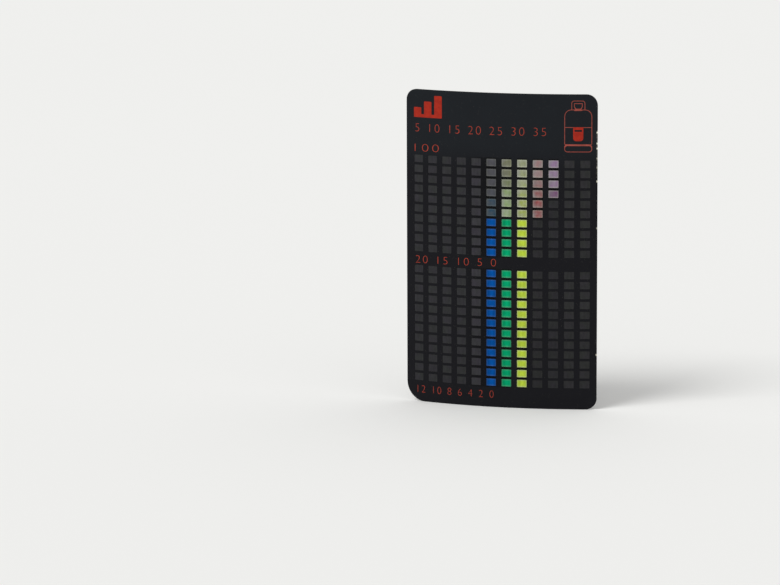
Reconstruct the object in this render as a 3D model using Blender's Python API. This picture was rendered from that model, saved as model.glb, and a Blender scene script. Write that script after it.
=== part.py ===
"""A flexible level indicator card for a gas bottle.

The card is a laminate. From the bottle outwards it has a magnetic sheet, a black backing
film, a strip of liquid crystal for each column, and a black face film with a window over
every cell and red print beside them. Each piece is drawn flat, as it is made, and is then
bent round the wall of the bottle that the card clings to.

Units are metres, and +Z runs up the bottle. The card faces -Y. The origin is on the back
face, across the card in the middle of the cells, and half way up the card.
"""

import bisect
import math

import bmesh
import bpy

# The wall that the card is bent round
BOTTLE_RADIUS = 0.1590
WIDEST_FACET = 0.0048

# The flat card, its margins round the cells, and its rounded corners. The lower left
# corner is cut rounder than the other three.
CARD_WIDTH = 0.09029
CARD_HEIGHT = 0.14460
LEFT_MARGIN = 0.00395
RIGHT_MARGIN = 0.00330
FOOT_MARGIN = 0.00972
CORNER_RADIUS = 0.0050
LOWER_LEFT_RADIUS = 0.0092

# The layers, from the bottle outwards
MAGNET_THICKNESS = 0.00060
BACKING_THICKNESS = 0.00010
CRYSTAL_THICKNESS = 0.00005
FACE_THICKNESS = 0.00015
INK_THICKNESS = 0.00003
GLUE_LINE = 0.00002

# The grid of cells. The cells share out what the margins and gaps leave of the card.
COLUMNS = 12
COLUMN_GAP = 0.00264
UPPER_ROWS = 10
LOWER_ROWS = 12
ROW_GAP = 0.00113
BAND_HEIGHT = 0.00633
STRIP_OVERLAP = 0.00060

# The mark in the top left corner: bars that rise from one base line
MARK_BARS = 3
MARK_BAR_WIDTH = 0.00380
MARK_BAR_GAP = 0.00140
MARK_BASE = 0.00150
MARK_FIRST_HEIGHT = 0.00460
MARK_STEP = 0.00280
MARK_ROUNDING = 0.00040
MARK_TOP_MARGIN = 0.00260

# The bottle sign in the top right corner, with the header's margins above and below it
SIGN_TOP_MARGIN = 0.00280
SIGN_FOOT_MARGIN = 0.00380
SIGN_RIGHT_MARGIN = 0.00254
SIGN_LINE = 0.00028
SIGN_HANDLE_WIDTH = 0.00380
SIGN_HANDLE_HEIGHT = 0.00286
SIGN_HANDLE_KNEE = 0.00130
SIGN_HANDLE_TAPER = 0.00060
SIGN_HANDLE_ROUNDING = 0.00080
SIGN_HANDLE_GAP = 0.00091
SIGN_COLLAR_ROUNDING = 0.00120
SIGN_SEAT_WIDTH = 0.00420
SIGN_SEAT_TAPER = 0.00060
SIGN_SEAT_RISE = 0.00040
SIGN_SEAT_DEPTH = 0.00031
SIGN_SHOULDER_RADIUS = 0.00313
SIGN_WELD_DROP = 0.00815
SIGN_CARD_WIDTH = 0.00455
SIGN_CARD_HEIGHT = 0.00622
SIGN_CARD_ROUNDING = 0.00140
SIGN_CARD_CLEARANCE = 0.00183
SIGN_SLOT_DROP = 0.00108
SIGN_SLOT_HEIGHT = 0.00085
SIGN_SLOT_MARGIN = 0.00060
SIGN_HEM = 0.00038
SIGN_NICK = 0.00045
SIGN_RING_HEIGHT = 0.00320
SIGN_RING_ROUNDING = 0.00140

# How the shapes are drawn. ROUNDEST_CORNER is the share of the shorter side that a
# corner's radius may take.
ARC_STEPS = 6
ROUNDEST_CORNER = 0.49
WELD_DISTANCE = 1e-7
SHARP_EDGE_DEGREES = 30

# The colours, and how rough each surface is
BLACK_RUBBER = (0.018, 0.018, 0.020)
BLACK_FILM = (0.013, 0.014, 0.017)
IDLE_CRYSTAL = (0.030, 0.030, 0.032)
LIT_CRYSTALS = {6: (0.002, 0.091, 0.402), 7: (0.004, 0.352, 0.156), 8: (0.485, 0.610, 0.032)}
RED_INK = (0.512, 0.032, 0.017)
RUBBER_ROUGHNESS = 0.80
BACKING_ROUGHNESS = 0.60
CRYSTAL_ROUGHNESS = 0.35
FACE_ROUGHNESS = 0.42
INK_ROUGHNESS = 0.50

# Worked out from the values above
GRID_WIDTH = CARD_WIDTH - LEFT_MARGIN - RIGHT_MARGIN
COLUMN_PITCH = (GRID_WIDTH + COLUMN_GAP) / COLUMNS
CELL_WIDTH = COLUMN_PITCH - COLUMN_GAP
SIGN_COLLAR_WIDTH = SIGN_HANDLE_WIDTH + 2 * (SIGN_HANDLE_GAP + SIGN_LINE)
SIGN_COLLAR_HEIGHT = SIGN_HANDLE_HEIGHT + SIGN_HANDLE_GAP + SIGN_LINE
SIGN_BODY_WIDTH = SIGN_COLLAR_WIDTH + 2 * SIGN_SHOULDER_RADIUS
SIGN_BODY_HEIGHT = SIGN_WELD_DROP + SIGN_CARD_HEIGHT + SIGN_CARD_CLEARANCE
SIGN_HEIGHT = SIGN_COLLAR_HEIGHT + SIGN_BODY_HEIGHT + SIGN_RING_HEIGHT
HEADER_HEIGHT = SIGN_TOP_MARGIN + SIGN_HEIGHT + SIGN_FOOT_MARGIN
ROWS_HEIGHT = CARD_HEIGHT - HEADER_HEIGHT - BAND_HEIGHT - FOOT_MARGIN
ROW_PITCH = (ROWS_HEIGHT + 2 * ROW_GAP) / (UPPER_ROWS + LOWER_ROWS)
CELL_HEIGHT = ROW_PITCH - ROW_GAP
CARD_LEFT = -GRID_WIDTH / 2 - LEFT_MARGIN
CARD_RIGHT = GRID_WIDTH / 2 + RIGHT_MARGIN
CARD_TOP = CARD_HEIGHT / 2
BACKING_OUT = MAGNET_THICKNESS + GLUE_LINE
CRYSTAL_OUT = BACKING_OUT + BACKING_THICKNESS + GLUE_LINE
FACE_OUT = CRYSTAL_OUT + CRYSTAL_THICKNESS + GLUE_LINE
INK_OUT = FACE_OUT + FACE_THICKNESS + GLUE_LINE


def clear_scene():
    """Removes the objects that the script finds."""
    for thing in list(bpy.data.objects):
        bpy.data.objects.remove(thing)


def make_material(name, colour, roughness):
    """A plain material in one colour."""
    material = bpy.data.materials.new(name)
    material.use_nodes = True
    material.diffuse_color = (*colour, 1)
    shader = material.node_tree.nodes["Principled BSDF"]
    shader.inputs["Base Color"].default_value = (*colour, 1)
    shader.inputs["Roughness"].default_value = roughness
    shader.inputs["Metallic"].default_value = 0
    return material


def rounded_loop(corners):
    """The points of a closed outline, from corners given as (across, up, radius)."""
    points = []
    for index, (across, up, radius) in enumerate(corners):
        if not radius:
            points.append((across, up))
            continue
        before = corners[index - 1]
        after = corners[(index + 1) % len(corners)]
        points += corner_arc((across, up), before, after, radius)
    return points


def corner_arc(corner, before, after, radius):
    """The arc that rounds one corner, from the side before it to the side after it."""
    back = math.atan2(before[1] - corner[1], before[0] - corner[0])
    ahead = math.atan2(after[1] - corner[1], after[0] - corner[0])
    opening = math.remainder(ahead - back, math.tau)
    middle = back + opening / 2
    reach = radius / abs(math.sin(opening / 2))
    centre = (corner[0] + reach * math.cos(middle), corner[1] + reach * math.sin(middle))
    sweep = math.copysign(math.pi - abs(opening), opening)
    first = middle + math.pi + sweep / 2
    angles = [first - sweep * step / ARC_STEPS for step in range(ARC_STEPS + 1)]
    return [
        (centre[0] + radius * math.cos(angle), centre[1] + radius * math.sin(angle))
        for angle in angles
    ]


def rectangle(left, right, bottom, top, radius=0):
    """The corners of an upright rectangle, rounded as far as its shorter side allows."""
    fits = min(radius, ROUNDEST_CORNER * (right - left), ROUNDEST_CORNER * (top - bottom))
    return [(left, bottom, fits), (right, bottom, fits), (right, top, fits), (left, top, fits)]


def mirrored(right_half):
    """A closed outline from the corners of its right half."""
    return right_half + [(-across, up, radius) for across, up, radius in reversed(right_half)]


def column_left(column):
    """The left side of a column of cells, counted from 0."""
    return column * COLUMN_PITCH - GRID_WIDTH / 2


def row_tops():
    """The top of each row of cells, from the first one down."""
    upper = CARD_TOP - HEADER_HEIGHT
    lower = upper - UPPER_ROWS * ROW_PITCH + ROW_GAP - BAND_HEIGHT
    return [upper - row * ROW_PITCH for row in range(UPPER_ROWS)] + [
        lower - row * ROW_PITCH for row in range(LOWER_ROWS)
    ]


def fold_lines():
    """The upright lines at which the bent card changes direction.

    They run along both sides of each column of cells. A stretch wider than WIDEST_FACET
    is shared out among an odd number of facets, so the card always has a middle facet.
    """
    sides = [CARD_LEFT]
    for column in range(COLUMNS):
        sides += [column_left(column), column_left(column) + CELL_WIDTH]
    sides.append(CARD_RIGHT)
    lines = [CARD_LEFT]
    for left, right in zip(sides, sides[1:]):
        parts = math.ceil((right - left) / WIDEST_FACET)
        parts += 1 - parts % 2
        lines += [left + (right - left) * part / parts for part in range(1, parts + 1)]
    return lines


def middle_flat(folds):
    """How far the middle facet's back lies from the bottle's axis."""
    at = bisect.bisect_right(folds, 0) - 1
    return BOTTLE_RADIUS * math.cos((folds[at + 1] - folds[at]) / (2 * BOTTLE_RADIUS))


def bend_point(point, folds):
    """Where a point of the flat card (across, up, out) lies once the card is bent."""
    across, up, out = point
    at = min(max(bisect.bisect_right(folds, across) - 1, 0), len(folds) - 2)
    share = (across - folds[at]) / (folds[at + 1] - folds[at])
    left = folds[at] / BOTTLE_RADIUS
    right = folds[at + 1] / BOTTLE_RADIUS
    radius = BOTTLE_RADIUS + out
    sideways = (1 - share) * math.sin(left) + share * math.sin(right)
    forwards = (1 - share) * math.cos(left) + share * math.cos(right)
    return radius * sideways, middle_flat(folds) - radius * forwards, up


def flat_mesh(name, outlines, thickness):
    """A flat plate with the first outline as its edge and the others as holes."""
    curve = bpy.data.curves.new(name, "CURVE")
    curve.dimensions = "2D"
    curve.fill_mode = "BOTH"
    curve.extrude = thickness / 2
    for corners in outlines:
        points = rounded_loop(corners)
        spline = curve.splines.new("POLY")
        spline.points.add(len(points) - 1)
        for place, (across, up) in zip(spline.points, points):
            place.co = (across, up, 0, 1)
        spline.use_cyclic_u = True
    plate = bpy.data.objects.new(name, curve)
    bpy.context.scene.collection.objects.link(plate)
    evaluated = plate.evaluated_get(bpy.context.evaluated_depsgraph_get())
    mesh = bpy.data.meshes.new_from_object(evaluated)
    bpy.data.objects.remove(plate)
    bpy.data.curves.remove(curve)
    return mesh


def bent_piece(name, outlines, thickness, out, material, card, folds):
    """One layer of the card: a flat plate, creased along the folds and bent round the wall."""
    mesh = flat_mesh(name, outlines, thickness)
    shape = bmesh.new()
    shape.from_mesh(mesh)
    bmesh.ops.remove_doubles(shape, verts=shape.verts, dist=WELD_DISTANCE)
    for fold in folds[1:-1]:
        everything = shape.verts[:] + shape.edges[:] + shape.faces[:]
        bmesh.ops.bisect_plane(
            shape, geom=everything, dist=WELD_DISTANCE, plane_co=(fold, 0, 0), plane_no=(1, 0, 0)
        )
    for vertex in shape.verts:
        across, up, lift = vertex.co
        vertex.co = bend_point((across, up, out + thickness / 2 + lift), folds)
    bmesh.ops.recalc_face_normals(shape, faces=shape.faces)
    shape.to_mesh(mesh)
    shape.free()
    mesh.materials.clear()
    mesh.materials.append(material)
    mesh.shade_smooth()
    mesh.set_sharp_from_angle(angle=math.radians(SHARP_EDGE_DEGREES))
    piece = bpy.data.objects.new(name, mesh)
    card.objects.link(piece)
    return piece


def card_outline():
    """The die-cut edge that every full layer shares."""
    return [
        (CARD_LEFT, -CARD_TOP, LOWER_LEFT_RADIUS),
        (CARD_RIGHT, -CARD_TOP, CORNER_RADIUS),
        (CARD_RIGHT, CARD_TOP, CORNER_RADIUS),
        (CARD_LEFT, CARD_TOP, CORNER_RADIUS),
    ]


def window_outlines():
    """One window for each cell of the grid."""
    windows = []
    for column in range(COLUMNS):
        left = column_left(column)
        for top in row_tops():
            windows.append(rectangle(left, left + CELL_WIDTH, top - CELL_HEIGHT, top))
    return windows


def strip_outline(column):
    """The strip of crystal behind one column, wider and longer than its windows."""
    left = column_left(column)
    tops = row_tops()
    return rectangle(
        left - STRIP_OVERLAP,
        left + CELL_WIDTH + STRIP_OVERLAP,
        tops[-1] - CELL_HEIGHT - STRIP_OVERLAP,
        tops[0] + STRIP_OVERLAP,
    )


def mark_outline():
    """The corner mark, drawn round from the base line's left end."""
    left = column_left(0)
    step = MARK_BAR_WIDTH + MARK_BAR_GAP
    right = left + MARK_BARS * step - MARK_BAR_GAP
    bottom = CARD_TOP - MARK_TOP_MARGIN - MARK_FIRST_HEIGHT - (MARK_BARS - 1) * MARK_STEP
    corners = [(left, bottom, MARK_ROUNDING), (right, bottom, MARK_ROUNDING)]
    for bar in reversed(range(MARK_BARS)):
        bar_left = left + bar * step
        top = bottom + MARK_FIRST_HEIGHT + bar * MARK_STEP
        if bar < MARK_BARS - 1:
            corners.append((bar_left + MARK_BAR_WIDTH, bottom + MARK_BASE, 0))
        corners.append((bar_left + MARK_BAR_WIDTH, top, MARK_ROUNDING))
        corners.append((bar_left, top, MARK_ROUNDING))
        if bar:
            corners.append((bar_left, bottom + MARK_BASE, 0))
    return corners


def sign_edge():
    """The outer edge of the bottle sign: collar, shoulders, body and foot ring."""
    body = SIGN_BODY_WIDTH / 2
    collar = SIGN_COLLAR_WIDTH / 2
    neck = -SIGN_COLLAR_HEIGHT
    foot = neck - SIGN_BODY_HEIGHT
    return mirrored(
        [
            (collar, 0, SIGN_COLLAR_ROUNDING),
            (collar, neck, 0),
            (body, neck, SIGN_SHOULDER_RADIUS),
            (body, foot + SIGN_NICK, 0),
            (body - SIGN_NICK, foot, 0),
            (body, foot - SIGN_NICK, 0),
            (body, foot - SIGN_RING_HEIGHT, SIGN_RING_ROUNDING),
        ]
    )


def collar_openings():
    """The bare areas inside the sign's collar: round its handle, and under the handle's bar."""
    line = SIGN_LINE
    collar = SIGN_COLLAR_WIDTH / 2
    handle = SIGN_HANDLE_WIDTH / 2
    handle_foot = handle - SIGN_HANDLE_TAPER
    neck = -SIGN_COLLAR_HEIGHT
    knee = neck + SIGN_HANDLE_KNEE
    handle_top = neck + SIGN_HANDLE_HEIGHT
    round_handle = mirrored(
        [
            (collar - line, -line, max(SIGN_COLLAR_ROUNDING - line, 0)),
            (collar - line, neck, 0),
            (handle_foot, neck, 0),
            (handle, knee, SIGN_HANDLE_ROUNDING),
            (handle, handle_top, 0),
        ]
    )
    under_bar = mirrored(
        [
            (handle - line, handle_top - line, 0),
            (handle - line, knee, SIGN_HANDLE_ROUNDING),
            (handle_foot - line, neck + SIGN_SEAT_RISE, 0),
        ]
    )
    return [round_handle, under_bar]


def body_openings():
    """The bare areas inside the sign's body: under the valve's seat, round its card, the slot."""
    line = SIGN_LINE
    inside = SIGN_BODY_WIDTH / 2 - line
    seat = SIGN_SEAT_WIDTH / 2
    card = SIGN_CARD_WIDTH / 2
    neck = -SIGN_COLLAR_HEIGHT
    weld = neck - SIGN_WELD_DROP
    foot = neck - SIGN_BODY_HEIGHT
    above_weld = mirrored(
        [
            (seat - SIGN_SEAT_TAPER, neck - line - SIGN_SEAT_DEPTH, 0),
            (seat, neck - line, 0),
            (inside, neck - line, SIGN_SHOULDER_RADIUS - line),
            (inside, weld + line / 2, 0),
        ]
    )
    round_card = mirrored(
        [
            (card, weld - SIGN_CARD_HEIGHT, SIGN_CARD_ROUNDING),
            (card, weld - line / 2, 0),
            (inside, weld - line / 2, 0),
            (inside, foot + SIGN_HEM, 0),
        ]
    )
    slot_end = card - SIGN_SLOT_MARGIN
    slot_top = weld - SIGN_SLOT_DROP
    slot = rectangle(-slot_end, slot_end, slot_top - SIGN_SLOT_HEIGHT, slot_top)
    return [above_weld, round_card, slot]


def ring_opening():
    """The bare area inside the sign's foot ring."""
    inside = SIGN_BODY_WIDTH / 2 - SIGN_LINE
    ring_top = -SIGN_COLLAR_HEIGHT - SIGN_BODY_HEIGHT
    rounding = max(SIGN_RING_ROUNDING - SIGN_LINE, 0)
    bottom = ring_top - SIGN_RING_HEIGHT + SIGN_LINE
    return rectangle(-inside, inside, bottom, ring_top - SIGN_HEM, rounding)


def sign_outlines():
    """The bottle sign's edge and openings, in their place on the card."""
    middle = CARD_RIGHT - SIGN_RIGHT_MARGIN - SIGN_BODY_WIDTH / 2
    top = CARD_TOP - SIGN_TOP_MARGIN
    outlines = [sign_edge()] + collar_openings() + body_openings() + [ring_opening()]
    return [
        [(middle + across, top + up, radius) for across, up, radius in corners]
        for corners in outlines
    ]


def back_layers(card, folds):
    """The magnetic sheet, and the black film that the crystals lie on."""
    rubber = make_material("magnetic_rubber", BLACK_RUBBER, RUBBER_ROUGHNESS)
    backing = make_material("backing_film", BLACK_FILM, BACKING_ROUGHNESS)
    edge = [card_outline()]
    return [
        bent_piece("magnetic_sheet", edge, MAGNET_THICKNESS, 0, rubber, card, folds),
        bent_piece("backing_film", edge, BACKING_THICKNESS, BACKING_OUT, backing, card, folds),
    ]


def crystal_strips(card, folds):
    """One strip for each column of cells, in a material of its own."""
    strips = []
    for column in range(COLUMNS):
        name = f"crystal_strip_{column + 1:02d}"
        colour = LIT_CRYSTALS.get(column + 1, IDLE_CRYSTAL)
        material = make_material(name, colour, CRYSTAL_ROUGHNESS)
        edge = [strip_outline(column)]
        strips.append(
            bent_piece(name, edge, CRYSTAL_THICKNESS, CRYSTAL_OUT, material, card, folds)
        )
    return strips


def front_layers(card, folds):
    """The face film with its windows, and the red print on it."""
    film = make_material("black_film", BLACK_FILM, FACE_ROUGHNESS)
    ink = make_material("red_ink", RED_INK, INK_ROUGHNESS)
    face = [card_outline()] + window_outlines()
    return [
        bent_piece("face_film", face, FACE_THICKNESS, FACE_OUT, film, card, folds),
        bent_piece("corner_mark", [mark_outline()], INK_THICKNESS, INK_OUT, ink, card, folds),
        bent_piece("bottle_sign", sign_outlines(), INK_THICKNESS, INK_OUT, ink, card, folds),
    ]


def main():
    """Builds the card, layer by layer from the bottle outwards."""
    clear_scene()
    card = bpy.data.collections.new("gas_level_indicator")
    bpy.context.scene.collection.children.link(card)
    origin = bpy.data.objects.new("card_origin", None)
    card.objects.link(origin)
    folds = fold_lines()
    for piece in back_layers(card, folds) + crystal_strips(card, folds) + front_layers(card, folds):
        piece.parent = origin


main()
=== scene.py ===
# %% [markdown]
# A gas level card, dressed for its picture.
#
# The real card is a flexible magnet with a printed face. It clings to a curved steel wall
# that has liquid gas behind it, and it has twelve columns of small windows. Behind each
# column lies a strip of liquid crystal that shows a colour only in its own narrow band of
# temperatures. Liquid gas keeps the wall beside it cool, so the colours change at the
# height that the gas reaches.
#
# The construction is already modelled, and this script loads it as a frame. What is left
# is how the card looks: each layer is made again as a smoothly bent sheet, every surface
# gets its finish, and then come the light and the camera.

# %% The frame
import math

import bmesh
import bpy
from mathutils import Euler, Matrix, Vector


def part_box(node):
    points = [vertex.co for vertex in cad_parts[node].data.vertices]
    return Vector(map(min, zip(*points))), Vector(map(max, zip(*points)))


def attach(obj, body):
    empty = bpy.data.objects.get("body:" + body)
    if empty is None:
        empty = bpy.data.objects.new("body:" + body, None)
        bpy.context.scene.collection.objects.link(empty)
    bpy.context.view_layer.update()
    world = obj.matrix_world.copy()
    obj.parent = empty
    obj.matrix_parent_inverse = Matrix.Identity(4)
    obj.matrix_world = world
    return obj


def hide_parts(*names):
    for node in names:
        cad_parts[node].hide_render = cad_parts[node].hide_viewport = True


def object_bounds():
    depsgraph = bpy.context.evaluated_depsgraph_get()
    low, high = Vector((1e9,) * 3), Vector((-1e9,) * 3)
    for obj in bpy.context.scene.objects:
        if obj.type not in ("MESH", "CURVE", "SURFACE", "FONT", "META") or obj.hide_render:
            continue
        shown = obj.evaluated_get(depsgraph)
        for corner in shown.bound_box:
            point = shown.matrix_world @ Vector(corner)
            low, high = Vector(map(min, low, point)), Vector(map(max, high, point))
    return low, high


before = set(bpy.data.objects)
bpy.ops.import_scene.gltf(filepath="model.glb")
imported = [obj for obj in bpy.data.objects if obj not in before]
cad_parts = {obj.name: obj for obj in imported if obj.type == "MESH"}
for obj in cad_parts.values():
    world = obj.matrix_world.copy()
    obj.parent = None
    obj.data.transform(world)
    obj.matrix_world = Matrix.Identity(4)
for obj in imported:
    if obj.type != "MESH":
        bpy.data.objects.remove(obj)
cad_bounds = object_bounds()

print("nodes in the frame:", len(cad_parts))

# %% [markdown]
# The card is printed and cut while it lies flat, so it is drawn flat here too: "across"
# runs to the right from the middle of the cells, and "up" from half way up the card, both
# in millimetres. The edges come from the frame, and the print's own sizes are named here.
# Working in the flat means that a window is a plain rectangle and a line of print is
# straight, and one function then bends them all.
#
# The frame puts its zero on the flat facet behind the middle gap between two columns. A
# facet lies a little inside its arc, so the axis of the bend is a hair nearer than the
# radius.

# %% The flat card
MM = 0.001
WALL_RADIUS = 159.0
COLUMNS = 12
CELL_WIDTH = 4.50
COLUMN_GAP = 2.64
UPPER_ROWS = 10
LOWER_ROWS = 12
CELL_HEIGHT = 3.45
ROW_GAP = 1.13
BAND_HEIGHT = 6.33
FOOT_MARGIN = 9.72
MAGNET_THICKNESS = 0.60

COLUMN_PITCH = CELL_WIDTH + COLUMN_GAP
ROW_PITCH = CELL_HEIGHT + ROW_GAP
GRID_WIDTH = COLUMNS * COLUMN_PITCH - COLUMN_GAP
WALL_AXIS = WALL_RADIUS * math.cos(COLUMN_GAP / 2 / WALL_RADIUS)

sheet_low, sheet_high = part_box("magnetic_sheet")
CARD_TOP = sheet_high.z / MM


def edge_across(x):
    """How far across the flat card its edge lies, from where the bent sheet's front ends."""
    return WALL_RADIUS * math.asin(x / MM / (WALL_RADIUS + MAGNET_THICKNESS))


CARD_LEFT = edge_across(sheet_low.x)
CARD_RIGHT = edge_across(sheet_high.x)
LOWER_TOP = FOOT_MARGIN + LOWER_ROWS * ROW_PITCH - ROW_GAP - CARD_TOP
UPPER_TOP = LOWER_TOP + BAND_HEIGHT + UPPER_ROWS * ROW_PITCH - ROW_GAP
BAND_MIDDLE = LOWER_TOP + BAND_HEIGHT / 2
GRID_FOOT = FOOT_MARGIN - CARD_TOP


def column_left(column):
    """The left side of a column of cells, counted from 0."""
    return column * COLUMN_PITCH - GRID_WIDTH / 2


def row_tops():
    """The top of each row of cells, from the first one down."""
    upper = [UPPER_TOP - row * ROW_PITCH for row in range(UPPER_ROWS)]
    return upper + [LOWER_TOP - row * ROW_PITCH for row in range(LOWER_ROWS)]


print(f"flat card: {CARD_RIGHT - CARD_LEFT:.2f} x {2 * CARD_TOP:.2f} mm")
print(f"cells: {COLUMNS} columns of {len(row_tops())}, the first row at {UPPER_TOP:.2f} mm")

# %% [markdown]
# The rubber, the backing and the printed face are cut with one die, so they share one
# edge. It is a rectangle with round corners, and the lower left corner is cut rounder
# than the others. The quarter circles follow each other round the card, so the points
# come out in the right order by themselves.

# %% The edge of the card
CORNER_RADIUS = 5.0
LOWER_LEFT_RADIUS = 9.2
CORNER_STEPS = 10


def card_outline():
    """The points round the card."""
    corners = [
        (CARD_RIGHT, CARD_TOP, CORNER_RADIUS),
        (CARD_LEFT, CARD_TOP, CORNER_RADIUS),
        (CARD_LEFT, -CARD_TOP, LOWER_LEFT_RADIUS),
        (CARD_RIGHT, -CARD_TOP, CORNER_RADIUS),
    ]
    points = []
    for quarter, (across, up, radius) in enumerate(corners):
        across -= math.copysign(radius, across)
        up -= math.copysign(radius, up)
        for step in range(CORNER_STEPS + 1):
            angle = (quarter + step / CORNER_STEPS) * math.pi / 2
            points.append((across + radius * math.cos(angle), up + radius * math.sin(angle)))
    return points


card_edge = card_outline()
print("points round the card:", len(card_edge))

# %% [markdown]
# A sheet that is cut from stock is a filled outline with a thickness. A grid of faces
# would be easy to bend but can't have round corners, and cutting 264 windows with
# Booleans is slow. A 2D curve does both: its first loop is the edge, every further loop
# is a hole, and "extrude" gives the thickness.

# %% Cutting a flat sheet
def cut_sheet(name, outlines, thickness):
    """A flat sheet. The first outline is its edge, and the others are holes."""
    drawing = bpy.data.curves.new(name, "CURVE")
    drawing.dimensions = "2D"
    drawing.fill_mode = "BOTH"
    drawing.extrude = thickness / 2
    for points in outlines:
        spline = drawing.splines.new("POLY")
        spline.points.add(len(points) - 1)
        for point, (across, up) in zip(spline.points, points):
            point.co = (across, up, 0, 1)
        spline.use_cyclic_u = True
    return drawing


def mesh_of(drawing):
    """The mesh of a drawing. The drawing itself is then deleted."""
    holder = bpy.data.objects.new(drawing.name, drawing)
    bpy.context.scene.collection.objects.link(holder)
    evaluated = holder.evaluated_get(bpy.context.evaluated_depsgraph_get())
    mesh = bpy.data.meshes.new_from_object(evaluated)
    bpy.data.objects.remove(holder)
    bpy.data.curves.remove(drawing)
    return mesh


# %% [markdown]
# Bending is rolling the flat sheet on to a cylinder. The distance across becomes an angle
# round the axis of the bend, and the height stays as it is. A flat face can't bend, so
# the sheet is first creased by upright cuts, close enough together for the facets not to
# show. A Simple Deform modifier bends as well, but it gives no exact radius for each
# layer, and here the layers are only hundredths of a millimetre apart.

# %% Bending a sheet to the wall
FOLD_STEP = 1.19
WELD = 0.0001
SHARP_ANGLE = math.radians(35)


def crease(shape):
    """Cuts a flat mesh along upright lines, one every FOLD_STEP."""
    places = [vertex.co.x for vertex in shape.verts]
    first = math.ceil(min(places) / FOLD_STEP)
    last = math.floor(max(places) / FOLD_STEP)
    for line in range(first, last + 1):
        everything = shape.verts[:] + shape.edges[:] + shape.faces[:]
        bmesh.ops.bisect_plane(
            shape,
            geom=everything,
            dist=WELD,
            plane_co=(line * FOLD_STEP, 0, 0),
            plane_no=(1, 0, 0),
        )


def bend(mesh, middle_radius):
    """Bends a flat mesh round the axis. Its middle plane goes to the given radius."""
    shape = bmesh.new()
    shape.from_mesh(mesh)
    bmesh.ops.remove_doubles(shape, verts=shape.verts, dist=WELD)
    crease(shape)
    for vertex in shape.verts:
        across, up, lift = vertex.co
        angle = across / WALL_RADIUS
        radius = middle_radius + lift
        vertex.co.x = radius * math.sin(angle) * MM
        vertex.co.y = (WALL_AXIS - radius * math.cos(angle)) * MM
        vertex.co.z = up * MM
    bmesh.ops.recalc_face_normals(shape, faces=shape.faces)
    shape.to_mesh(mesh)
    shape.free()
    mesh.materials.clear()
    mesh.shade_smooth()
    mesh.set_sharp_from_angle(angle=SHARP_ANGLE)


def bent_piece(name, mesh, middle_radius):
    """A piece of the card: a flat mesh, bent to the wall and riding on the card."""
    bend(mesh, middle_radius)
    piece = bpy.data.objects.new(name, mesh)
    bpy.context.scene.collection.objects.link(piece)
    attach(piece, "root")
    print(f"{name}: {len(mesh.polygons)} faces")
    return piece


print(f"a fold's facet lies {FOLD_STEP ** 2 / 8 / WALL_RADIUS:.4f} mm inside the true arc")

# %% [markdown]
# The layers lie on each other from the wall outwards: the magnetic rubber, the black
# backing film, the strips of liquid crystal, and the printed face. Each has its place
# and thickness from the frame's own build-up. A smooth sheet bulges out a little between
# the corners of the frame's flat facets. SHY takes that much off both of its sides, so
# that it stays inside the frame's own size.
#
# The rubber is the only layer thick enough to have an edge that the eye can see. A die
# leaves that edge a little round, so it gets a Bevel modifier.

# %% The layers
BACKING_THICKNESS = 0.10
CRYSTAL_THICKNESS = 0.05
FACE_THICKNESS = 0.15
GLUE_LINE = 0.02
SHY = 0.006
EDGE_ROUNDING = 0.12

BACKING_OUT = MAGNET_THICKNESS + GLUE_LINE
CRYSTAL_OUT = BACKING_OUT + BACKING_THICKNESS + GLUE_LINE
FACE_OUT = CRYSTAL_OUT + CRYSTAL_THICKNESS + GLUE_LINE


def layer(name, outlines, out, thickness):
    """One layer of the card, SHY thinner on both sides than its place in the frame."""
    mesh = mesh_of(cut_sheet(name, outlines, thickness - 2 * SHY))
    return bent_piece(name, mesh, WALL_RADIUS + out + thickness / 2)


def round_the_edge(piece, width):
    """Rounds the cut edges of a layer."""
    bevel = piece.modifiers.new("round edge", "BEVEL")
    bevel.width = width * MM
    bevel.segments = 3
    bevel.limit_method = "ANGLE"
    bevel.angle_limit = SHARP_ANGLE
    bevel.harden_normals = True


rubber = layer("rubber_sheet", [card_edge], 0, MAGNET_THICKNESS)
round_the_edge(rubber, EDGE_ROUNDING)
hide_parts("magnetic_sheet")

backing = layer("backing_layer", [card_edge], BACKING_OUT, BACKING_THICKNESS)
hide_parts("backing_film")

# %% [markdown]
# The printed face is one film. On the real card the windows are places where the black
# print stops, and here they are holes, which look the same and let the strips behind
# them be pieces of their own. Their corners are cut off a touch, because ink never ends
# in a sharp corner.

# %% The printed face
WINDOW_CORNER = 0.12


def window(left, top):
    """A window's outline, from its left side and its top."""
    right = left + CELL_WIDTH
    bottom = top - CELL_HEIGHT
    cut = WINDOW_CORNER
    return [
        (left + cut, bottom), (right - cut, bottom), (right, bottom + cut), (right, top - cut),
        (right - cut, top), (left + cut, top), (left, top - cut), (left, bottom + cut),
    ]


windows = [window(column_left(column), top) for column in range(COLUMNS) for top in row_tops()]
face = layer("printed_face", [card_edge] + windows, FACE_OUT, FACE_THICKNESS)
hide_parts("face_film")
print("windows cut:", len(windows))

# %% [markdown]
# The crystals are twelve strips, coated on the backing side by side. A single coated
# sheet would look the same from the front, but each real strip is a mixture of its own
# for its own band of temperatures, so each one is its own piece with its own finish.

# %% The crystal strips
STRIP_OVERLAP = 0.60
strips = []
for column in range(COLUMNS):
    left = column_left(column) - STRIP_OVERLAP
    right = column_left(column) + CELL_WIDTH + STRIP_OVERLAP
    bottom = row_tops()[-1] - CELL_HEIGHT - STRIP_OVERLAP
    top = row_tops()[0] + STRIP_OVERLAP
    strip_edge = [(left, bottom), (right, bottom), (right, top), (left, top)]
    strip = layer(f"crystal_{column + 1:02d}", [strip_edge], CRYSTAL_OUT, CRYSTAL_THICKNESS)
    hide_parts(f"crystal_strip_{column + 1:02d}")
    strips.append(strip)

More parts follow.
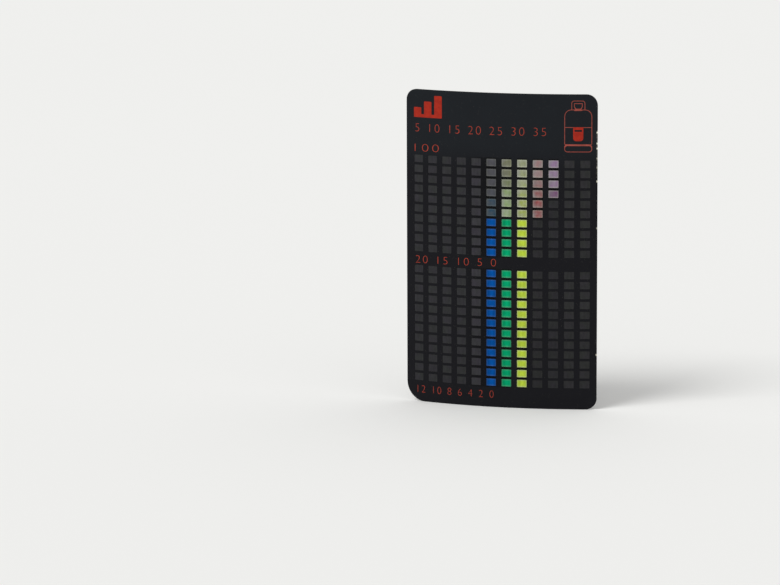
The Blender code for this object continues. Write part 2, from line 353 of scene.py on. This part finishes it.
# %% [markdown]
# The card was read with the level three fifths of the way up. Below it the wall is cool,
# and three strips glow over all the rows that are left. Above it the wall is warmer, and
# five strips are lit, the last one over four rows only. Both the crystals and the print
# round them need to know this, so it is written down once.

# %% Which cells are lit
WARM_ROWS = {6: 6, 7: 6, 8: 6, 9: 6, 10: 4}
COOL_STRIPS = (6, 7, 8)


def lit_rows(column):
    """How many rows of a strip are lit, from the top of the card down."""
    return UPPER_ROWS + LOWER_ROWS if column in COOL_STRIPS else WARM_ROWS[column]


print("lit cells:", sum(lit_rows(column) for column in WARM_ROWS))

# %% [markdown]
# The card carries rows of plain numbers in thin red ink. Tracing each stroke by hand
# would give a stencil look. A text object has well drawn figures already: it is made
# with the thickness of the ink, fitted to the height and length of its line on the
# card, and then bent like every other layer.

# %% The printed numbers
NUMBER_ROWS = {
    # name: (figures, left, right, bottom, top, how far the line rises on its way)
    "heading_numbers": ("5 10 15 20 25 30 35", -41.0, 21.6, 52.8, 56.6, 0.4),
    "full_number": ("100", -41.2, -28.9, 43.8, 47.2, 0.2),
    "band_numbers": ("20 15 10 5 0", -40.9, -1.3, -7.9, -4.4, 0.7),
    "foot_numbers": ("12 10 8 6 4 2 0", -40.0, -2.4, -68.3, -64.9, 0.1),
}
LETTER_SPACING = 1.25
WORD_SPACING = 1.15
STROKE_CHANGE = -0.026
NUMBER_THICKNESS = 0.012
NUMBER_LIFT = 0.006


def number_row(name, figures, left, right, bottom, top, rise):
    """A row of printed numbers that fills its place on the card."""
    line = bpy.data.curves.new(name, "FONT")
    line.body = figures
    line.fill_mode = "BOTH"
    line.space_character = LETTER_SPACING
    line.space_word = WORD_SPACING
    line.offset = STROKE_CHANGE
    line.extrude = NUMBER_THICKNESS / 2
    mesh = mesh_of(line)
    across = [vertex.co.x for vertex in mesh.vertices]
    up = [vertex.co.y for vertex in mesh.vertices]
    wider = (right - left) / (max(across) - min(across))
    taller = (top - bottom) / (max(up) - min(up))
    for vertex in mesh.vertices:
        along = (vertex.co.x - min(across)) * wider
        vertex.co.x = left + along
        vertex.co.y = bottom + (vertex.co.y - min(up)) * taller + rise * along / (right - left)
    print(f"{name}: figures drawn {wider / taller:.2f} times their usual width")
    out = FACE_OUT + FACE_THICKNESS - SHY + NUMBER_LIFT
    return bent_piece(name, mesh, WALL_RADIUS + out + NUMBER_THICKNESS / 2)


numbers = [number_row(name, *row) for name, row in NUMBER_ROWS.items()]

# %% [markdown]
# The finishes are sums on places and noise, and a sum is far easier to read as Python
# than as a chain of Math nodes. Wire stands for one socket. A sum on it adds the Math
# node, and its node method adds any other node, with the settings first and then the
# values or links of the sockets.

# %% Sums for materials
class Wire:
    """One socket of a material's node tree."""

    def __init__(self, tree, socket=None):
        self.tree = tree
        self.socket = socket

    def node(self, kind, settings=None, inputs=None, output=0):
        """Adds a node and returns one of its outputs."""
        made = self.tree.nodes.new(kind)
        for name, value in (settings or {}).items():
            setattr(made, name, value)
        for name, value in (inputs or {}).items():
            socket = pick(made.inputs, name)
            if isinstance(value, Wire):
                self.tree.links.new(value.socket, socket)
            else:
                socket.default_value = value
        return Wire(self.tree, pick(made.outputs, output))

    def math(self, operation, *values):
        """A Math node on plain numbers and wires."""
        return self.node("ShaderNodeMath", {"operation": operation}, dict(enumerate(values)))

    def __add__(self, other):
        return self.math("ADD", self, other)

    def __sub__(self, other):
        return self.math("SUBTRACT", self, other)

    def __rsub__(self, other):
        return self.math("SUBTRACT", other, self)

    def __mul__(self, other):
        return self.math("MULTIPLY", self, other)

    def __truediv__(self, other):
        return self.math("DIVIDE", self, other)

    def __lt__(self, other):
        return self.math("LESS_THAN", self, other)

    def __abs__(self):
        return self.math("ABSOLUTE", self)

    __radd__ = __add__
    __rmul__ = __mul__


def pick(sockets, name):
    """A socket by its number, or by its name among those that the settings leave in use."""
    if isinstance(name, int):
        return sockets[name]
    return next(socket for socket in sockets if socket.name == name and socket.enabled)


# %% [markdown]
# Every finish needs to know where a point lies on the flat card. That is worked out
# backwards from the bent place, with an arctangent round the axis of the bend, so a
# pattern lies on the card exactly as it was printed and nothing stretches. Colours are
# written as they look on a screen, from 0 to 255.

# %% Colours and places
def screen_colour(red, green, blue):
    """A colour as it looks on a screen, as the linear values that a shader takes."""
    linear = []
    for part in (red, green, blue):
        part /= 255
        linear.append(part / 12.92 if part <= 0.04045 else ((part + 0.055) / 1.055) ** 2.4)
    return (*linear, 1.0)


def flat_place(start):
    """How far across and up the flat card a point lies, and the two as one place, in mm."""
    place = start.node("ShaderNodeTexCoord", output="Object")
    parts = {name: place.node("ShaderNodeSeparateXYZ", None, {0: place}, name) for name in "XYZ"}
    towards_axis = WALL_AXIS * MM - parts["Y"]
    across = place.math("ARCTAN2", parts["X"], towards_axis) * WALL_RADIUS
    up = parts["Z"] / MM
    flat = place.node("ShaderNodeCombineXYZ", None, {"X": across, "Y": up})
    return across, up, flat


print(f"a grey of 128 on a screen is {screen_colour(128, 128, 128)[0]:.3f} in a shader")

# %% [markdown]
# Wear, dust and print are all made from three tools: a noise of a given size, a soft step
# that turns any value into a mask, and a mix of two colours by that mask. A ramp with
# colour stops could do the last two in one node, but then its numbers are hard to find.

# %% Patterns
def noise(place, size, detail=2.0, stretch=(1, 1, 1)):
    """Soft noise from 0 to 1, in lumps of about the given size, in the unit of the place."""
    scaled = place.node("ShaderNodeMapping", None, {"Vector": place, "Scale": stretch})
    inputs = {"Vector": scaled, "Scale": 1 / size, "Detail": detail}
    return place.node("ShaderNodeTexNoise", None, inputs, "Fac")


def step(value, low, high):
    """A soft step that is 0 below low and 1 above high."""
    inputs = {"Value": value, "From Min": low, "From Max": high}
    return value.node("ShaderNodeMapRange", {"interpolation_type": "SMOOTHSTEP"}, inputs)


def mix(amount, first, second):
    """The first colour where the amount is 0, and the second where it is 1."""
    inputs = {"Factor": amount, "A": first, "B": second}
    return amount.node("ShaderNodeMix", {"data_type": "RGBA"}, inputs, "Result")


def brighter(colour, amount):
    """A colour, plain or wired, times a number."""
    inputs = {0: colour if isinstance(colour, Wire) else colour[:3], "Scale": amount}
    return amount.node("ShaderNodeVectorMath", {"operation": "SCALE"}, inputs)


# %% [markdown]
# A finish is one function that takes an empty start in a material's node tree and returns
# what changes over the surface. What doesn't change, such as the specular level, is set
# on the shader itself.

# %% Making and wearing a finish
def bump(height, depth):
    """The tilt of a surface that is raised by the height times the depth, in mm."""
    return height.node("ShaderNodeBump", None, {"Height": height, "Distance": depth * MM})


def finish(name, look, specular):
    """A material from a function that gives its changing colour, roughness and normal."""
    material = bpy.data.materials.new(name)
    material.use_nodes = True
    tree = material.node_tree
    shader = tree.nodes["Principled BSDF"]
    shader.inputs["Specular IOR Level"].default_value = specular
    for socket, wire in look(Wire(tree)).items():
        tree.links.new(wire.socket, shader.inputs[socket])
    print(f"{name}: {len(tree.nodes)} nodes")
    return material


def wear(piece, material):
    """Gives a piece its finish."""
    piece.data.materials.clear()
    piece.data.materials.append(material)


# %% [markdown]
# Between the cells the black is painted darker than on the open card, as painted shade. It
# is darkest on the narrow bars inside the lit columns, which read as pure black beside so
# much colour, and a soft painted shade makes it a little darker than usual beside the
# first lit column. Both are worked out from the places of the cells, so they stay in line
# with the windows.

# %% Painted shade between the cells
BAR_SIDE = 0.2
BAR_FADE = (0.2, 0.9)
BAR_SHADE_DEPTH = 0.95
SHADE_MIDDLE = column_left(5)
SHADE_REACH = (3.0, 11.0)
SHADE_DEPTH = 0.50


def near_cells(up):
    """1 among the rows of cells, fading to 0 on the header, the band and the foot."""
    near, far = BAR_FADE
    above = step(up, UPPER_TOP + near, UPPER_TOP + far)
    below = step(up, GRID_FOOT - far, GRID_FOOT - near)
    past_band = step(abs(up - BAND_MIDDLE), BAND_HEIGHT / 2 - far, BAND_HEIGHT / 2 - near)
    return (1 - above) * below * past_band


def lit_columns(across, up):
    """1 over the lit rows of the lit columns, and 0 elsewhere."""
    lit = 0.0
    half = CELL_WIDTH / 2
    for column in WARM_ROWS:
        middle = column_left(column - 1) + half
        beside = 1 - step(abs(across - middle), half - BAR_SIDE, half + BAR_SIDE)
        foot = row_tops()[lit_rows(column) - 1] - CELL_HEIGHT
        lit = beside * step(up, foot - BAR_FADE[1], foot - BAR_FADE[0]) + lit
    return lit


def painted_shade_between_cells(across, up):
    """How much painted shade darkens the black between the cells, from 0 to 1."""
    bar_shade = BAR_SHADE_DEPTH * lit_columns(across, up)
    shade = 1 - step(abs(across - SHADE_MIDDLE), *SHADE_REACH)
    return near_cells(up) * across.math("MAXIMUM", bar_shade, SHADE_DEPTH * shade)


print("the shade is deepest", round(SHADE_MIDDLE, 2), "mm across")

# %% [markdown]
# The cut right edge is chipped in a few places. Where the chips catch the light, pale
# glints are painted into the colour, some clear and some faint, with a fine fringe of
# them between the upper ones. They are drawn where they are seen: in a narrow band along
# the edge, at given heights, and broken up by noise.

# %% Painted glints on the right edge
# A pale colour for the dust on the face and for the painted glints on the edge.
PALE_DUST_AND_GLINT = screen_colour(238, 235, 214)
GLINTS = [
    # how high up the card each chip is, and how clearly its painted glint shows
    (55.0, 1.0), (50.0, 0.9), (47.8, 1.0), (43.2, 0.45), (39.1, 0.35),
    (32.7, 0.7), (11.3, 0.35), (-47.0, 0.6),
]
GLINT_BAND = 0.66
GLINT_REACH = 0.55
GLINT_CORE = 0.4
GRIT_SIZE = 0.35
RAGGEDNESS = 0.8
FRINGE = (34.0, 56.0)
FRINGE_GRAINS = (0.50, 0.62)
FRINGE_STRENGTH = 0.25


def painted_glints(across, up, flat):
    """Where pale glints are painted along the right edge, as a number from 0 to 1."""
    grit = noise(flat, GRIT_SIZE, 1.0)
    ragged = up + RAGGEDNESS * (grit - 0.5)
    fringe = (up < FRINGE[1]) * (1 - (up < FRINGE[0]))
    glinting = fringe * step(grit, *FRINGE_GRAINS) * FRINGE_STRENGTH
    for height, strength in GLINTS:
        glint_spot = 1 - step(abs(ragged - height), GLINT_REACH * GLINT_CORE, GLINT_REACH)
        glinting = across.math("MAXIMUM", glinting, glint_spot * strength)
    return glinting * step(across, CARD_RIGHT - GLINT_BAND, CARD_RIGHT - GLINT_BAND / 2)


print("chips on the edge:", len(GLINTS))

# %% [markdown]
# The face is screen-printed black on a satin film. A black like this is never one flat
# value: the header is paler and bluer, which is a soft sheen painted into its colour,
# and the rest is warmer and darker. The varnish is faintly mottled, and handling has left
# dust and hairlines. All of that is low in contrast, so it goes mostly into the
# roughness, where light finds it.

# %% The finish of the black print
# The header's black, made paler and bluer by a painted sheen.
HEADER_BLACK_AND_SHEEN = screen_colour(25, 28, 32)
CELLS_BLACK = screen_colour(19, 19, 23)
HEADER_FADE = (34.0, 50.0)
MOTTLE_SIZE = 9.0
HAIRLINE_SIZE = 0.22
HAIRLINE_STRETCH = (1.0, 0.06, 1.0)
HAIRLINES = (0.70, 0.78)
DUST_SIZE = 0.30
DUST = (0.80, 0.86)
VARNISH_SIZE = 0.9
VARNISH_DEPTH = 0.003


def black_print(start):
    across, up, flat = flat_place(start)
    header = step(up, *HEADER_FADE)
    mottle = noise(flat, MOTTLE_SIZE, 3.0)
    hairline = step(noise(flat, HAIRLINE_SIZE, 1.0, HAIRLINE_STRETCH), *HAIRLINES)
    dust = step(noise(flat, DUST_SIZE, 0.0), *DUST)
    # Painted shade darkens the black between the cells.
    strength = (0.90 + 0.20 * mottle) * (1 - painted_shade_between_cells(across, up))
    # The header gets the black with its painted sheen.
    colour = brighter(mix(header, CELLS_BLACK, HEADER_BLACK_AND_SHEEN), strength)
    colour = mix(dust * 0.10, colour, PALE_DUST_AND_GLINT)
    # Pale glints are painted along the right edge where it is chipped.
    colour = mix(painted_glints(across, up, flat), colour, PALE_DUST_AND_GLINT)
    roughness = 0.40 + 0.10 * mottle - 0.05 * hairline + 0.25 * dust
    varnish = bump(noise(flat, VARNISH_SIZE, 2.0), VARNISH_DEPTH)
    return {"Base Color": colour, "Roughness": roughness, "Normal": varnish}


wear(face, finish("black_print", black_print, specular=0.08))

# %% [markdown]
# A liquid crystal strip is nearly black until its band of temperatures is reached. Then
# it runs through red, green and blue as it warms. In the cool part three strips glow
# blue, green and lime, and in the warm part five are at the pale end of their play.
#
# The colour is a rule and not a picture, so that it can be read and changed. A strip has
# one colour for its cool part and two for its warm part, one at the top and one near the
# level, and it turns from the first to the second at a given row.

# %% The colours of the strips
IDLE = (50, 50, 52)
IDLE_LOOKS = {
    # strip: its near black, where that isn't IDLE
    5: (56, 55, 59), 9: (45, 45, 46), 10: (45, 45, 47), 11: (48, 48, 49), 12: (48, 48, 49),
}
WARM_LOOKS = {
    # strip: (its colour at the top, its colour near the level, the row where it turns from
    # one to the other, and how much paler its cells are at the rim)
    6: ((78, 78, 83), (57, 76, 91), 3.7, 0.08),
    7: ((115, 117, 96), (141, 159, 121), 2.5, 0.26),
    8: ((149, 154, 125), (158, 168, 108), 2.5, 0.42),
    9: ((147, 125, 125), (141, 98, 98), 2.5, 0.20),
    10: ((142, 123, 146), (117, 89, 113), 2.5, 0.28),
}
COOL_LOOKS = {
    # strip: (slot, the colour of its cool part, and how much paler its cells are at the rim
    # and darker at the sides)
    6: ("crystal_blue", (3, 82, 162), 0.05, 0.24),
    7: ("crystal_green", (3, 163, 109), 0.10, 0.20),
    8: ("crystal_lime", (187, 211, 67), 0.36, 0.10),
}
IDLE_STRIP = ("crystal_idle", None, 0.008, -0.03)

print("strips that glow:", [slot for slot, *_ in COOL_LOOKS.values()])

# %% [markdown]
# Each strip is one long piece, and its cells are only what the windows show of it. So the
# finish finds out for itself which row a point lies in, and how near it is to the rim of
# its window. Dividing the height by the pitch of the rows gives both: the whole part is
# the row, and the rest is the place in the row.

# %% The place in a cell
RIM_WIDTH = 0.62
RIM_HEIGHT = 0.85


def cell_row(up):
    """The row that a height lies in, counted from 0, and how many rows it is down."""
    past_band = up < BAND_MIDDLE
    down = UPPER_TOP - up - past_band * (BAND_HEIGHT - ROW_GAP)
    rows = down / ROW_PITCH
    return rows.math("FLOOR", rows), rows


def rim_of_cell(inside, rows, row):
    """0 in the middle of a cell, rising to 1 at its edges."""
    sideways = CELL_WIDTH / 2 - abs(inside - CELL_WIDTH / 2)
    upright = CELL_HEIGHT / 2 - abs((rows - row) * ROW_PITCH - CELL_HEIGHT / 2)
    return 1 - step(sideways, 0.0, RIM_WIDTH) * step(upright, 0.0, RIM_HEIGHT)


print(f"the middle of a cell is {1 - 2 * RIM_WIDTH / CELL_WIDTH:.0%} of its width")

# %% [markdown]
# The strips that are out of their band are nearly black, with a faint cast that drifts
# between yellow and violet. The warm colours turn softly, over about two rows. They are
# greyer at the left of a cell, and they come and go in patches, because a thin coating
# is never quite even.

# %% Idle and warm colours
CAST_YELLOW = (0.99, 1.01, 0.98)
CAST_VIOLET = (1.01, 0.99, 1.03)
CAST_SIZE = 5.0
CAST_TURN = (0.35, 0.65)
TURN_REACH = 1.2
PLAY_SIZE = 2.4
PLAY_LEFT = 0.55
PLAY_FULL = 1.06
PLAY_CHANGE = 1.4


def stronger(colour, amount):
    """A wired colour, made stronger by an amount above 1 and greyer by one below it."""
    inputs = {"Saturation": amount, "Color": colour}
    return amount.node("ShaderNodeHueSaturation", None, inputs, "Color")


def idle_colour(column, flat):
    """The near black of a strip outside its band, with its drifting cast."""
    shade = IDLE_LOOKS.get(column, IDLE)
    yellower, more_violet = (
        screen_colour(*(part * share for part, share in zip(shade, cast)))
        for cast in (CAST_YELLOW, CAST_VIOLET)
    )
    return mix(step(noise(flat, CAST_SIZE, 2.0), *CAST_TURN), yellower, more_violet)


def warm_colour(column, row, inside, flat):
    """The colour of the warm part of a strip."""
    top_colour, low_colour, turn, _ = WARM_LOOKS[column]
    turned = step(row, turn - TURN_REACH, turn + TURN_REACH)
    colour = mix(turned, screen_colour(*top_colour), screen_colour(*low_colour))
    play = PLAY_LEFT + (PLAY_FULL - PLAY_LEFT) * step(inside, 0.0, CELL_WIDTH / 2)
    return stronger(colour, play + PLAY_CHANGE * (noise(flat, PLAY_SIZE, 1.0) - 0.5))


print(f"at the left of a cell a warm colour has {PLAY_LEFT:.0%} of its strength")

# %% [markdown]
# How strongly a colour shows also varies. It fades a little towards the foot of the card,
# and every cell has a small change of its own, by chance. Inside a cell the coating is
# cloudy and streaky, and it is brightest just right of the middle. Further right a thin
# darker line runs down the strip, as where two passes of a coating meet.

# %% The strength of the coating
FOOT_STRENGTH = 0.88
CELL_CHANGE = 0.10
SEED_STEP = 40.5
CLOUD_DEPTH = 0.12
STREAK_SIZE = 1.1
STREAK_STRETCH = (1.0, 0.3, 1.0)
STREAK_DEPTH = 0.60
BRIGHTEST = 0.57
SIDE_REACH = 1.9
PASS_LINE = 0.74
PASS_WIDTH = 0.35
PASS_DEPTH = 0.05


def chance(column, row):
    """A number from 0 to 1 for each cell, always the same one."""
    seed = {"W": row + column * SEED_STEP}
    return row.node("ShaderNodeTexWhiteNoise", {"noise_dimensions": "1D"}, seed, "Value")


def coating_strength(column, up, row, inside, flat, cloud, darker_sides):
    """How strongly a strip's colour shows, about 1."""
    fade = FOOT_STRENGTH + (1 - FOOT_STRENGTH) * (up + CARD_TOP) / (2 * CARD_TOP)
    streak = noise(flat, STREAK_SIZE, 2.0, STREAK_STRETCH)
    change = 1 + CELL_CHANGE * (chance(column, row) - 0.5)
    change = change + CLOUD_DEPTH * (cloud - 0.5) + STREAK_DEPTH * (streak - 0.5)
    side = step(abs(inside - BRIGHTEST * CELL_WIDTH), 0.0, SIDE_REACH)
    pass_line = 1 - step(abs(inside - PASS_LINE * CELL_WIDTH), 0.0, PASS_WIDTH)
    return fade * change * (1 - side * darker_sides) - PASS_DEPTH * pass_line


print(f"at the foot of the card the colours have {FOOT_STRENGTH:.0%} of their strength")

# %% [markdown]
# A strip's finish puts these together. Where the strip is lit, the rim of each cell is
# paler and its sides are darker. The warm part and the cool part differ in how much, so
# the row decides which amounts hold.

# %% The finish of the crystals
RIM = screen_colour(222, 226, 208)
WARM_SIDES = 0.08
CLOUD_SIZE = 1.6
COATING_DEPTH = 0.004


def crystal_look(column):
    """The look of one strip, counted from 1."""
    _, cool, rim, sides = COOL_LOOKS.get(column, IDLE_STRIP)

    def look(start):
        across, up, flat = flat_place(start)
        inside = across - column_left(column - 1)
        row, rows = cell_row(up)
        cloud = noise(flat, CLOUD_SIZE, 3.0)
        colour = screen_colour(*cool) if cool else idle_colour(column, flat)
        pale_rim, dark_sides = rim, sides
        if column in WARM_LOOKS:
            is_warm = row < WARM_ROWS[column] - 0.5
            colour = mix(is_warm, colour, warm_colour(column, row, inside, flat))
            pale_rim = rim + is_warm * (WARM_LOOKS[column][-1] - rim)
            dark_sides = sides + is_warm * (WARM_SIDES - sides)
        colour = mix(rim_of_cell(inside, rows, row) * pale_rim, colour, RIM)
        strength = coating_strength(column, up, row, inside, flat, cloud, dark_sides)
        return {
            "Base Color": brighter(colour, strength),
            "Roughness": 0.34 + 0.14 * cloud,
            "Normal": bump(cloud, COATING_DEPTH),
        }

    return look


for column, strip in enumerate(strips, 1):
    wear(strip, finish(f"crystal_{column:02d}", crystal_look(column), specular=0.03))

# %% [markdown]
# The red is one pass of ink through a screen. It lies thin, so black shows faintly
# through it in pinholes and in soft patches. On the corner mark, and on the card in the
# bottle sign, it is broad and deep. A fine line is hardly wider than the screen's
# threads, and it comes out duller, with a touch of brown. The lines of the bottle sign
# are the finest, and the dullest.
#
# One finish serves all the red pieces, because they are printed together. The place on
# the card says which of the three inks holds.

# %% Where the ink is broad
PRINT_MARGIN = 1.0
SIGN_CARD_MIDDLE = 54.2
SIGN_CARD_REACH = (2.35, 3.2)
mark_low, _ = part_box("corner_mark")
sign_low, sign_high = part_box("bottle_sign")
MARK_FOOT = mark_low.z / MM - PRINT_MARGIN
SIGN_LEFT = edge_across(sign_low.x) - PRINT_MARGIN
SIGN_MIDDLE = (edge_across(sign_low.x) + edge_across(sign_high.x)) / 2


def broad_print(across, up):
    """1 on the corner mark and on the card in the bottle sign, and 0 on fine lines."""
    on_mark = (across < 0) * (1 - (up < MARK_FOOT))
    beside = abs(across - SIGN_MIDDLE) < SIGN_CARD_REACH[0]
    above = abs(up - SIGN_CARD_MIDDLE) < SIGN_CARD_REACH[1]
    return on_mark + beside * above


print(f"the bottle sign starts {SIGN_LEFT + PRINT_MARGIN:.1f} mm across")

# %% [markdown]
# Each ink is a pair of reds: a thin one, and one where the ink covers fully. Soft noise
# mixes the two, and fine noise with a high threshold leaves the pinholes.

# %% The finish of the red ink
INK_BROAD = (screen_colour(150, 36, 22), screen_colour(166, 41, 24))
INK_FINE = (screen_colour(156, 58, 43), screen_colour(177, 66, 49))
INK_SIGN = (screen_colour(141, 68, 58), screen_colour(158, 76, 66))
COVER_SIZE = 2.2
COVER = (0.35, 0.65)
PINHOLE_SIZE = 0.16
PINHOLES = (0.72, 0.80)
INK_DEPTH = 0.003


def red_ink(start):
    across, up, flat = flat_place(start)
    cover = noise(flat, COVER_SIZE, 2.0)
    full = step(cover, *COVER)
    pinhole = step(noise(flat, PINHOLE_SIZE, 0.0), *PINHOLES)
    colour = mix(across < SIGN_LEFT, mix(full, *INK_SIGN), mix(full, *INK_FINE))
    colour = mix(broad_print(across, up), colour, mix(full, *INK_BROAD))
    # The pinholes show the header's black, with its painted sheen.
    colour = mix(pinhole * 0.5, colour, HEADER_BLACK_AND_SHEEN)
    roughness = 0.45 + 0.15 * cover
    return {"Base Color": colour, "Roughness": roughness, "Normal": bump(cover, INK_DEPTH)}


ink = finish("red_ink", red_ink, specular=0.12)
for piece in numbers + [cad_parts["corner_mark"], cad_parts["bottle_sign"]]:
    wear(piece, ink)

# %% [markdown]
# The back is ferrite powder bound in rubber and rolled into a sheet. It is charcoal with
# a brown cast and quite matt. Rolling leaves fine lines up the sheet, the powder leaves
# a grain, and rubbing on painted steel leaves paler scuffs.

# %% The finish of the magnetic rubber
FERRITE = screen_colour(41, 38, 36)
FERRITE_PALE = screen_colour(66, 63, 60)
ROLL_SIZE = 0.5
ROLL_STRETCH = (1.0, 0.02, 1.0)
GRAIN_SIZE = 0.18
PATCH_SIZE = 14.0
SCUFFED_PATCHES = (0.45, 0.60)
SCUFF_SIZE = 1.1
SCUFF_STRETCH = (0.25, 1.0, 1.0)
SCUFFS = (0.58, 0.72)
RUBBER_DEPTH = 0.02


def ferrite_rubber(start):
    _, _, flat = flat_place(start)
    roll = noise(flat, ROLL_SIZE, 2.0, ROLL_STRETCH)
    grain = noise(flat, GRAIN_SIZE, 2.0)
    patch = noise(flat, PATCH_SIZE, 3.0)
    scuff = step(noise(flat, SCUFF_SIZE, 3.0, SCUFF_STRETCH), *SCUFFS)
    scuff = scuff * step(patch, *SCUFFED_PATCHES)
    colour = mix(scuff * 0.6 + grain * 0.18 + patch * 0.25, FERRITE, FERRITE_PALE)
    roughness = 0.74 + 0.10 * grain - 0.16 * scuff
    relief = bump(0.6 * grain + 0.4 * roll, RUBBER_DEPTH)
    return {"Base Color": colour, "Roughness": roughness, "Normal": relief}


wear(rubber, finish("ferrite_rubber", ferrite_rubber, specular=0.3))

# %% [markdown]
# Only the cut edge of the backing film is ever seen, as a black line between the rubber
# and the face. It is the same kind of film as the face, left matt for the coating.

# %% The finish of the backing film
BACKING = screen_colour(24, 24, 27)
BACKING_PALE = screen_colour(52, 52, 55)
FUZZ_SIZE = 0.8
FUZZ = (0.45, 0.80)
FUZZ_DEPTH = 0.004


def backing_black(start):
    _, _, flat = flat_place(start)
    fuzz = noise(flat, FUZZ_SIZE, 3.0)
    colour = mix(step(fuzz, *FUZZ), BACKING, BACKING_PALE)
    roughness = 0.52 + 0.16 * fuzz
    return {"Base Color": colour, "Roughness": roughness, "Normal": bump(fuzz, FUZZ_DEPTH)}


wear(backing, finish("backing_black", backing_black, specular=0.3))

# %% [markdown]
# The card stands on its lower edge on a plain pale floor, which also fills the
# background, because the camera looks down on it. A curved backdrop would do as well,
# but it would need its own light, and the floor keeps the card's soft shadow.

# %% The floor
FLOOR_SIZE = 16.0
FLOOR_DROP = 0.0001
FLOOR_COLOUR = screen_colour(242, 242, 240)
FLOOR_SHADE = screen_colour(238, 238, 236)
FLOOR_CLOUD = 2.0


def pale_floor(start):
    place = start.node("ShaderNodeTexCoord", output="Object")
    return {"Base Color": mix(noise(place, FLOOR_CLOUD), FLOOR_COLOUR, FLOOR_SHADE)}


bpy.ops.mesh.primitive_plane_add(size=FLOOR_SIZE, location=(0, 0, cad_bounds[0].z - FLOOR_DROP))
floor = bpy.context.object
floor.name = "floor"
wear(floor, finish("pale_floor", pale_floor, specular=0.0))
print("floor at", round(floor.location.z, 5))

# %% [markdown]
# The light is one wide, soft lamp high on the left, as in a product studio, and a pale
# room all round. A lamp that stands near the card would light the floor unevenly, so it
# is a sun lamp with a wide angle, which is as soft and lights the whole floor alike.

# %% The lamp
LAMP_POWER = 1.41
LAMP_WIDTH = math.radians(28)
LAMP_HEIGHT = math.radians(50)
LAMP_SIDE = math.radians(35)
lamp = bpy.data.lights.new("soft_lamp", "SUN")
lamp.energy = LAMP_POWER
lamp.angle = LAMP_WIDTH
lamp_holder = bpy.data.objects.new("soft_lamp", lamp)
bpy.context.scene.collection.objects.link(lamp_holder)
lamp_holder.rotation_euler = (math.pi / 2 - LAMP_HEIGHT, 0, -LAMP_SIDE)
print("lamp:", LAMP_POWER, "W/m2")

# %% [markdown]
# The room looks white to the camera and in reflections, but it lights the card less than
# a white room would. Lamp and room together light a surface about as strongly as its
# colour is written. The Light Path node tells which kind of ray is asking.

# %% The room
ROOM_LIGHT = 0.65
world = bpy.data.worlds.new("room")
bpy.context.scene.world = world
world.use_nodes = True
room = Wire(world.node_tree)
seen = 0.0
for ray in ("Is Camera Ray", "Is Glossy Ray", "Is Transmission Ray"):
    seen = room.math("MAXIMUM", seen, room.node("ShaderNodeLightPath", output=ray))
background = world.node_tree.nodes["Background"]
background.inputs["Color"].default_value = (1, 1, 1, 1)
strength = ROOM_LIGHT + seen * (1 - ROOM_LIGHT)
world.node_tree.links.new(strength.socket, background.inputs["Strength"])
print("room light:", ROOM_LIGHT)

# %% [markdown]
# The camera stands where the photograph was taken from: about two metres away, a little
# to the right of the card and above it, with a long lens. The numbers were found by
# fitting the edges of the card and of its cells, with the radius of the bend known.

# %% The camera
CAMERA_PLACE = (0.4846, -1.8679, 0.3180)
CAMERA_TILT = math.radians(80.0887)
CAMERA_TURN = math.radians(16.0213)
CAMERA_ROLL = -0.0039
LENS = 198.4

camera = bpy.data.objects.new("camera", bpy.data.cameras.new("camera"))
bpy.context.scene.collection.objects.link(camera)
camera.data.lens = LENS
turned = Euler((CAMERA_TILT, 0, CAMERA_TURN)).to_matrix().to_4x4()
rolled = Matrix.Rotation(CAMERA_ROLL, 4, "Z")
camera.matrix_world = Matrix.Translation(CAMERA_PLACE) @ turned @ rolled
bpy.context.scene.camera = camera
bpy.context.scene.view_settings.view_transform = "Standard"
print("camera:", [round(part, 3) for part in camera.location], "lens", LENS)
